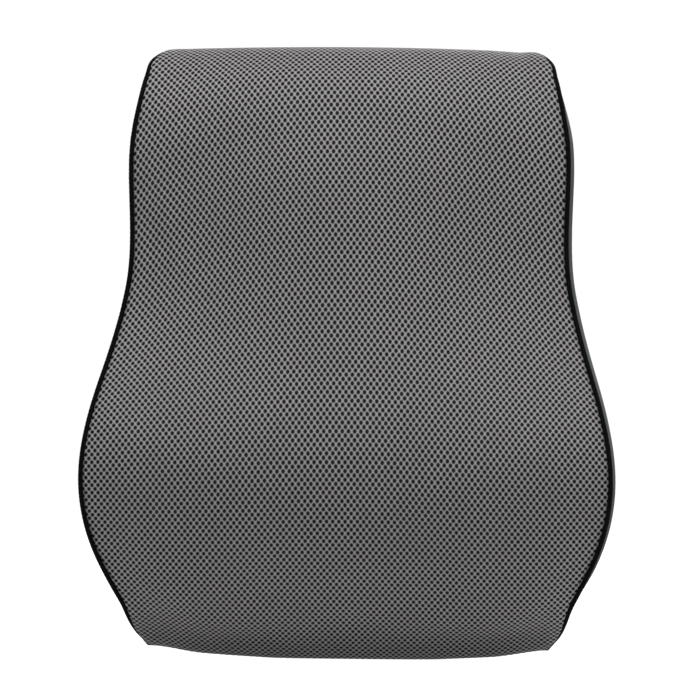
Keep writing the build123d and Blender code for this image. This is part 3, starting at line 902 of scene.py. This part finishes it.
STRAP_RIB = 1.3 * MM
RIB_DEPTH = 0.12 * MM
strap_low, strap_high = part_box("strap_left")
strap_z = (strap_low.z + strap_high.z) / 2
strap_width = strap_high.z - strap_low.z
socket_low, socket_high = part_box("buckle_socket")
plug_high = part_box("buckle_plug")[1]
adjuster_low, adjuster_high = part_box("strap_adjuster")
buckle_y = (socket_low.y + socket_high.y) / 2
adjuster_y = (adjuster_low.y + adjuster_high.y) / 2
adjuster_x = (adjuster_low.x + adjuster_high.x) / 2
STRAP_THICK = 1.5 * MM
THIN_STRAP = STRAP_THICK - 0.06 * MM  # where it is pressed by the adjuster
BAR_HALF = 1.3 * MM  # half the width of a loop bar
LOOP_R = 3.3 * MM
END_LOOP_R = 2.5 * MM
LAYER_STEP = 1.7 * MM  # between the strap's two layers
RAMP = 22 * MM  # length over which the webbing climbs to a loop bar
first_y = strap_low.y + STRAP_THICK / 2 + 0.05 * MM
second_y = first_y + LAYER_STEP


def easy(a, b, steps=24):
    """A curve between two points that is level at both."""
    t = np.linspace(0, 1, steps)
    return [(a[0] + (b[0] - a[0]) * u, a[1] + (b[1] - a[1]) * smooth_step(u)) for u in t]


def arc(centre, radius, start, end, steps=20):
    turn = np.linspace(math.radians(start), math.radians(end), steps)
    return [(centre[0] + radius * math.cos(a), centre[1] + radius * math.sin(a)) for a in turn]


def webbing(name, line, thick=STRAP_THICK):
    """A ribbed elastic band swept along a line of (x, y) points, its width running along Z."""
    apart = [p for i, p in enumerate(line) if i == 0 or math.dist(p, line[i - 1]) > 1e-6]
    line = np.array(apart)
    length = travelled(line)
    count = int(length[-1] / (1.2 * MM)) + 2
    at = np.linspace(0, length[-1], count)
    line = np.stack([np.interp(at, length, line[:, k]) for k in range(2)], axis=-1)
    line = soften(line, 2, 0)
    tangent = unit(np.gradient(line, axis=0))
    normal = np.stack([-tangent[:, 1], tangent[:, 0]], axis=-1)
    across = np.linspace(-0.5, 0.5, 77)
    edge = np.clip(1 - (0.5 - np.abs(across)) / 0.03, 0, 1)
    rib = RIB_DEPTH * np.cos(across * strap_width * 2 * math.pi / STRAP_RIB) * (1 - edge)
    half = thick / 2 * (1 - 0.55 * edge ** 2) + rib - RIB_DEPTH
    side = np.concatenate([half, -half[::-1]])
    place = np.concatenate([across, across[::-1]]) * strap_width + strap_z
    verts = np.zeros((count, len(side), 3))
    verts[..., 0] = line[:, None, 0] + normal[:, None, 0] * side[None]
    verts[..., 1] = line[:, None, 1] + normal[:, None, 1] * side[None]
    verts[..., 2] = place[None]
    around = len(side)
    faces = grid_faces(count, around, wrap=True, flip=True).tolist()
    faces += [list(range(around)), list(range((count - 1) * around, count * around))[::-1]]
    obj = new_object(name, verts, faces)
    set_uv(obj, np.stack(np.broadcast_arrays(place[None], at[:, None]), axis=-1))
    return dress(obj, WEBBING, body=None)


def build_strap():
    bar = socket_low.x + BAR_HALF
    line = [(strap_low.x, first_y), (bar - RAMP, first_y)]
    line += easy((bar - RAMP, first_y), (bar, buckle_y - LOOP_R))
    line += arc((bar, buckle_y), LOOP_R, -90, 90)
    line += easy((bar, buckle_y + LOOP_R), (bar - RAMP, second_y))
    line += [(bar - 2 * RAMP, second_y)]
    left = webbing("strap_left_webbing", line)
    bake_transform(left)
    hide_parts("strap_left")

    outer_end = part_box("strap_right")[1].x
    climb_x, down_x = adjuster_high.x, adjuster_low.x + MM
    crest_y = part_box("strap_right")[1].y - 0.8 * MM
    outer = webbing("strap_right_outer", [(outer_end, first_y), (climb_x - 18 * MM, first_y)])
    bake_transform(outer)
    crest = (adjuster_x, crest_y)
    wave = [(climb_x + 2 * MM, first_y)]
    wave += easy((climb_x, first_y), crest) + easy(crest, (down_x, second_y))
    wave += [(down_x - 3 * MM, second_y)]
    over = webbing("strap_right_over_adjuster", wave, THIN_STRAP)
    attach(over, "adjuster")
    end_low = adjuster_y - END_LOOP_R
    end = [(down_x - 2 * MM, first_y)] + easy((down_x, first_y), (adjuster_x, end_low))
    end += arc((adjuster_x, adjuster_y), END_LOOP_R, -90, 90)
    loop = webbing("strap_right_end_loop", end, THIN_STRAP)
    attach(loop, "adjuster")

    bar = plug_high.x - BAR_HALF
    line = [(down_x, second_y), (bar + RAMP, second_y)]
    line += easy((bar + RAMP, second_y), (bar, buckle_y + LOOP_R))
    line += arc((bar, buckle_y), LOOP_R, 90, 270)
    line += easy((bar, buckle_y - LOOP_R), (bar + RAMP, first_y)) + [(down_x, first_y)]
    inner = webbing("strap_right_inner", line)
    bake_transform(inner)
    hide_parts("strap_right")


BOX_INSET = 2.4 * MM  # of the stitched box and cross, from the strap's and the patch's edges
BOX_POINTS = 20
CROSS_JUMP = 5  # the step between the cross's two strokes, which isn't sewn


def build_anchor(side):
    """A sewn patch of cover cloth that laps over the strap's end."""
    low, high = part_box(f"strap_anchor_{side}")
    middle = (low.z + high.z) / 2
    flat, lap = 0.35 * MM, high.y

    def drape(x, z):
        over = smooth_step((strap_width / 2 + 1.4 * MM - np.abs(z - middle)) / (1.8 * MM))
        return flat + (lap - flat) * over + 0.06 * MM * np.sin(x * 700) * np.cos(z * 400)

    patch = flat_sheet(f"strap_anchor_{side}_patch", low, high, 0, drape, 0.4 * MM)
    dress(patch, BACK_KNIT, stands_for=[f"strap_anchor_{side}"])
    a, b = low.x + BOX_INSET, high.x - BOX_INSET
    c, d = middle - strap_width / 2 + BOX_INSET, middle + strap_width / 2 - BOX_INSET
    corners = [(a, c), (b, c), (b, d), (a, d), (a, c), (b, d), (b, c), (a, d)]
    for i, (start, end) in enumerate(zip(corners, corners[1:])):
        if i == CROSS_JUMP:
            continue
        x, z = (np.linspace(start[k], end[k], BOX_POINTS) for k in (0, 1))
        line = np.stack([x, np.full(BOX_POINTS, lap + 0.02 * MM), z], axis=-1)
        stitches(f"strap_anchor_{side}_stitches_{i}", line, (0, 1, 0), 2.2 * MM, 0.7 * MM, 0.2 * MM)


build_strap()
build_anchor("left")
build_anchor("right")

# ---------------------------------------------------------------- foam block and its liner


def soft_copy(name, node, voxel, rounds, swell=0.0):
    """A rounded, slightly uneven copy of a closed CAD solid, as one skin."""
    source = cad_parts[node]
    obj = bpy.data.objects.new(name, source.data.copy())
    bpy.context.scene.collection.objects.link(obj)
    bpy.context.view_layer.objects.active = obj
    remesh = obj.modifiers.new("even", "REMESH")
    remesh.mode, remesh.voxel_size = "VOXEL", voxel
    bpy.ops.object.modifier_apply(modifier=remesh.name)
    soft = obj.modifiers.new("soft", "SMOOTH")
    soft.factor, soft.iterations = 0.5, rounds
    bpy.ops.object.modifier_apply(modifier=soft.name)
    mesh = obj.data
    for v in mesh.vertices:
        uneven = 0.15 * MM * math.sin(v.co.x * 160) * math.sin(v.co.z * 130)
        v.co += v.normal * (swell + uneven)
    mesh.polygons.foreach_set("use_smooth", [True] * len(mesh.polygons))
    places = np.array([v.co for v in mesh.vertices])
    for layer in list(mesh.uv_layers):
        mesh.uv_layers.remove(layer)
    set_uv(obj, places[:, [0, 2]])
    return obj


dress(soft_copy("foam_block", "foam_core", 4.5 * MM, 8), FOAM, stands_for=["foam_core"])
liner = soft_copy("liner_bag", "foam_core", 4.5 * MM, 6, 0.9 * MM)
dress(liner, LINER, stands_for=["inner_liner"])

# ---------------------------------------------------------------- hard parts, carried over from the CAD


def carry(node, material, round_edge):
    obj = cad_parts[node]
    obj.data.materials.clear()
    obj.data.materials.append(material)
    edge = obj.modifiers.new("edge", "BEVEL")
    edge.width, edge.segments, edge.limit_method = round_edge, 2, "ANGLE"
    edge.angle_limit = math.radians(40)
    edge.use_clamp_overlap = True


carry("zip_teeth_upper", RESIN, 0.08 * MM)
carry("zip_teeth_lower", RESIN, 0.08 * MM)
carry("zip_stops", RESIN, 0.1 * MM)
carry("zip_slider", ENAMEL, 0.15 * MM)
carry("zip_pull", ENAMEL, 0.2 * MM)
BUCKLE = ("buckle_socket", "buckle_plug", "buckle_prong_upper", "buckle_prong_lower")
for hard in BUCKLE + ("strap_adjuster",):
    carry(hard, PLASTIC, 0.3 * MM)

# ---------------------------------------------------------------- studio and camera

AMBIENT = 0.01
FLOOR_GAP = 1.5 * MM  # the floor's distance below the cushion
FLOOR_LIFT = 0.27  # light the pale floor gives back to the underside
FLOOR_GLOW = 1.46  # keeps the pale floor from going grey where the light falls off
FLOOR_LIT = 0.3  # share of the floor's look that is real light and not glow
PAPER_WHITE = 1.02  # the background's strength, just past white


def camera_only(n, for_camera, otherwise):
    """Mixes two shaders by whether the camera or another surface sees them."""
    path = n.nodes.new("ShaderNodeLightPath")
    mix = n.nodes.new("ShaderNodeMixShader")
    n.links.new(path.outputs["Is Camera Ray"], mix.inputs[0])
    n.links.new(otherwise, mix.inputs[1])
    n.links.new(for_camera, mix.inputs[2])
    return mix.outputs[0]


def build_studio():
    floor_z = cad_bounds[0].z - FLOOR_GAP
    x, y = np.meshgrid(np.linspace(-3, 3, 7), np.linspace(-2, 5, 8))
    grid = np.stack([x, y, np.full_like(x, floor_z)], axis=-1)
    floor = new_object("studio_floor", grid, grid_faces(*x.shape))
    n = Nodes("studio_paper")
    mottled = n.noise(n.place(), 3.0)
    n.finish(n.mix(mottled, grey(0.88), grey(0.92)), 0.9)
    glow = n.node("ShaderNodeEmission", Color=(1, 1, 1, 1), Strength=FLOOR_GLOW)
    lit = n.tree.nodes.new("ShaderNodeMixShader")
    lit.inputs[0].default_value = FLOOR_LIT
    n.tree.links.new(glow.outputs[0], lit.inputs[1])
    n.tree.links.new(n.shader.outputs[0], lit.inputs[2])
    bounce = n.node("ShaderNodeBsdfDiffuse", Color=grey(0.6))
    lift = n.node("ShaderNodeEmission", Color=(1, 1, 1, 1), Strength=FLOOR_LIFT)
    under = n.tree.nodes.new("ShaderNodeAddShader")
    n.tree.links.new(bounce.outputs[0], under.inputs[0])
    n.tree.links.new(lift.outputs[0], under.inputs[1])
    out = n.tree.nodes["Material Output"]
    n.tree.links.new(camera_only(n.tree, lit.outputs[0], under.outputs[0]), out.inputs[0])
    floor.data.materials.append(n.material)
    world = bpy.data.worlds.new("studio")
    bpy.context.scene.world = world
    world.use_nodes = True
    tree = world.node_tree
    ambient = tree.nodes["Background"]
    ambient.inputs[0].default_value = (1, 1, 1, 1)
    ambient.inputs[1].default_value = AMBIENT
    paper = tree.nodes.new("ShaderNodeBackground")
    paper.inputs[0].default_value = (1, 1, 1, 1)
    paper.inputs[1].default_value = PAPER_WHITE
    shown = camera_only(tree, paper.outputs[0], ambient.outputs[0])
    tree.links.new(shown, tree.nodes["World Output"].inputs[0])


def area_light(name, place, aim, size, power):
    data = bpy.data.lights.new(name, "AREA")
    data.shape = "RECTANGLE"
    data.size, data.size_y = size
    data.energy = power
    lamp = bpy.data.objects.new(name, data)
    lamp.location = place
    lamp.rotation_euler = (Vector(aim) - Vector(place)).to_track_quat("-Z", "Y").to_euler()
    bpy.context.scene.collection.objects.link(lamp)


build_studio()
# place, aim, size and watts of each light
area_light("softbox_top", (0.0, -1.0, 1.9), (0, -0.05, 0), (1.4, 0.9), 41)
area_light("softbox_steep", (0.0, -0.35, 1.8), (0, -0.05, 0), (1.4, 0.6), 2)
area_light("softbox_front", (0.0, -2.6, 0.4), (0, 0, 0), (1.8, 1.4), 1)
area_light("softbox_left", (-1.9, -0.5, 0.2), (0, 0, 0), (0.8, 1.0), 2)
area_light("softbox_right", (1.9, -0.5, 0.2), (0, 0, 0), (0.8, 1.0), 5)
area_light("softbox_back", (0.6, 2.4, 1.3), (0, 0, 0), (1.6, 1.2), 60)

CAMERA_AZIMUTH, CAMERA_ROLL = 1.8, 0.5  # degrees
CAMERA_DISTANCE = 4.5
CAMERA_AIM = Vector((1.0 * MM, -0.055, 2.0 * MM))
VIEW_WIDTH = 0.487  # width of the picture at the cushion
camera = bpy.data.objects.new("camera", bpy.data.cameras.new("camera"))
bpy.context.scene.collection.objects.link(camera)
bpy.context.scene.camera = camera
camera.data.lens = camera.data.sensor_width * CAMERA_DISTANCE / VIEW_WIDTH
turn = math.radians(CAMERA_AZIMUTH)
camera.location = CAMERA_AIM + Vector((math.sin(turn), -math.cos(turn), 0)) * CAMERA_DISTANCE
facing = (CAMERA_AIM - camera.location).to_track_quat("-Z", "Y")
camera.rotation_euler = facing.to_euler()
camera.rotation_euler.rotate_axis("Z", math.radians(CAMERA_ROLL))
bpy.context.scene.view_settings.view_transform = "Standard"
